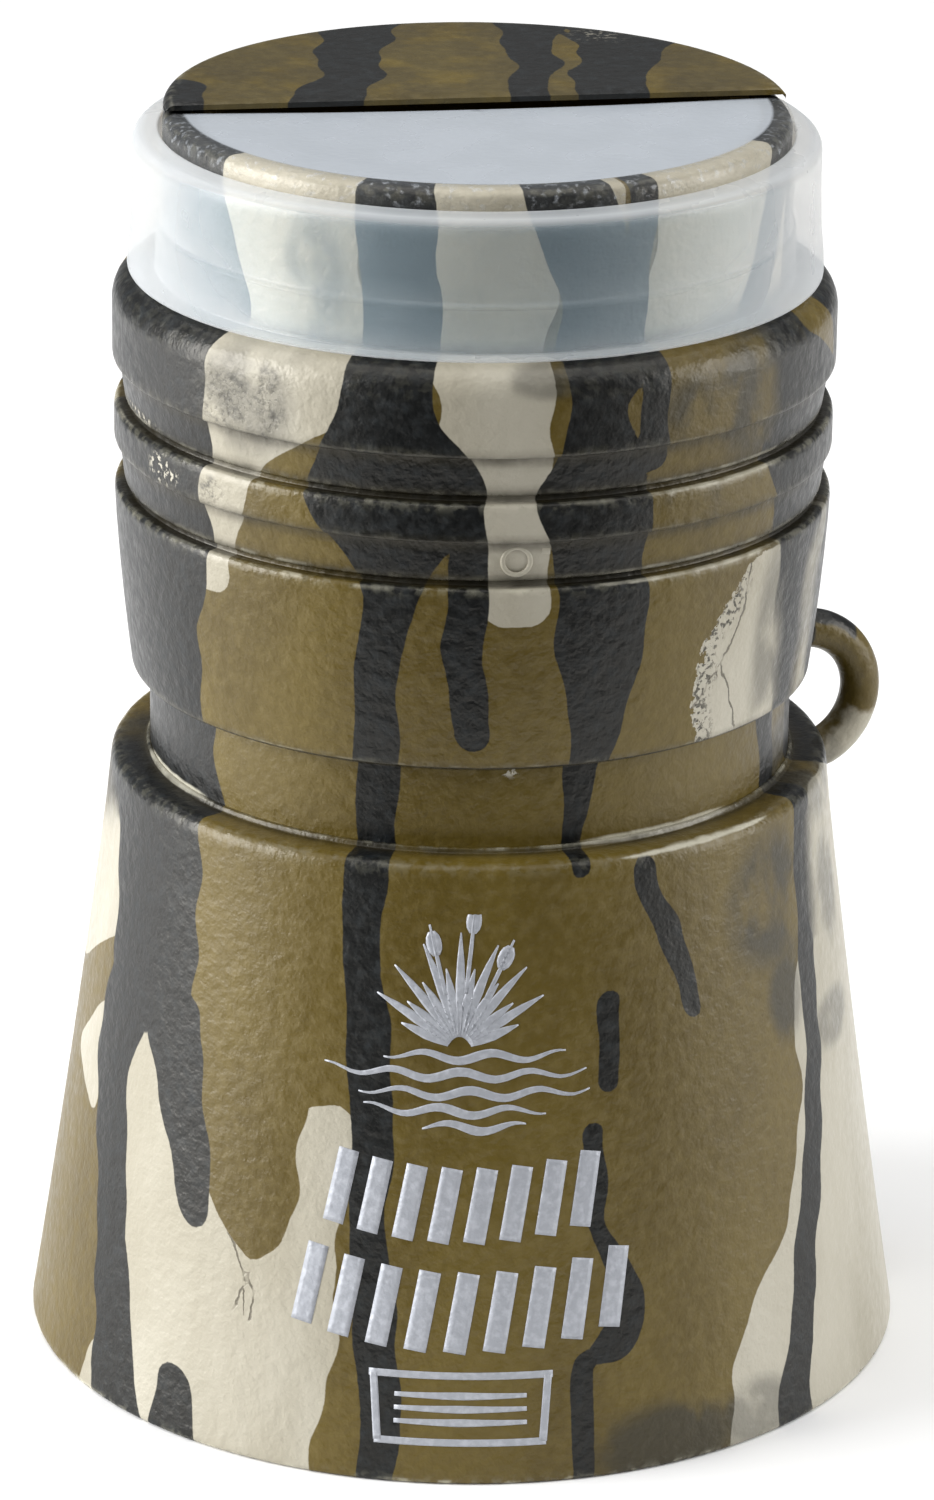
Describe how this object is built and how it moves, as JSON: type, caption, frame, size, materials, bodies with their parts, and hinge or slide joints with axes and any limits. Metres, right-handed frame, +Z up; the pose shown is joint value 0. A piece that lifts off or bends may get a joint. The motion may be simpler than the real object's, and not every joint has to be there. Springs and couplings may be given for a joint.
{
  "type": "tube call",
  "caption": "Flared tube call with a slip-fit ribbed barrel, half-moon latex reed across the mouth, frosted clamping ring and a side lanyard eye.",
  "frame": {"origin": "centre of the bell's foot, on the surface it stands on", "axes": "+Z up along the tube, -Y towards the front of the bell; the reed's side of the mouth faces -Y, turned nine degrees to the right of it"},
  "size_m": [0.0626, 0.0626, 0.0899],
  "materials": {
    "camo_plastic": "fine pebbled satin, film-printed in olive, charcoal and cream drips",
    "frosted_plastic": "frosted translucent",
    "latex": "thin translucent sheet, softly glossy",
    "seal_rubber": "greased black"
  },
  "bodies": {
    "bell": {"bell_horn": "camo_plastic", "neck_tube": "camo_plastic", "lanyard_eye": "camo_plastic"},
    "neck_seal": {"neck_o_ring": "seal_rubber"},
    "barrel": {"barrel_shell": "camo_plastic", "mouth_plate": "camo_plastic", "latex_skirt": "latex"},
    "ring": {"retaining_ring": "frosted_plastic"},
    "reed": {"latex_tongue": "latex"}
  },
  "joints": [
    {"name": "barrel_twist", "type": "hinge", "parent": "bell", "child": "neck_seal", "pos_m": [0, 0, 0.07], "axis": [0, 0, 1], "continuous": true},
    {"name": "barrel_pull", "type": "slide", "parent": "neck_seal", "child": "barrel", "axis": [0, 0, 1], "range_m": [0, 0.016]},
    {"name": "ring_lift", "type": "slide", "parent": "barrel", "child": "ring", "axis": [0, 0, 1], "range_m": [0, 0.012]},
    {"name": "reed_flutter", "type": "hinge", "parent": "barrel", "child": "reed", "pos_m": [0.00297, -0.01877, 0.0891], "axis": [0.9877, 0.1564, 0], "range_deg": [-3, 3], "stiffness_Nm_per_rad": 0.005}
  ]
}
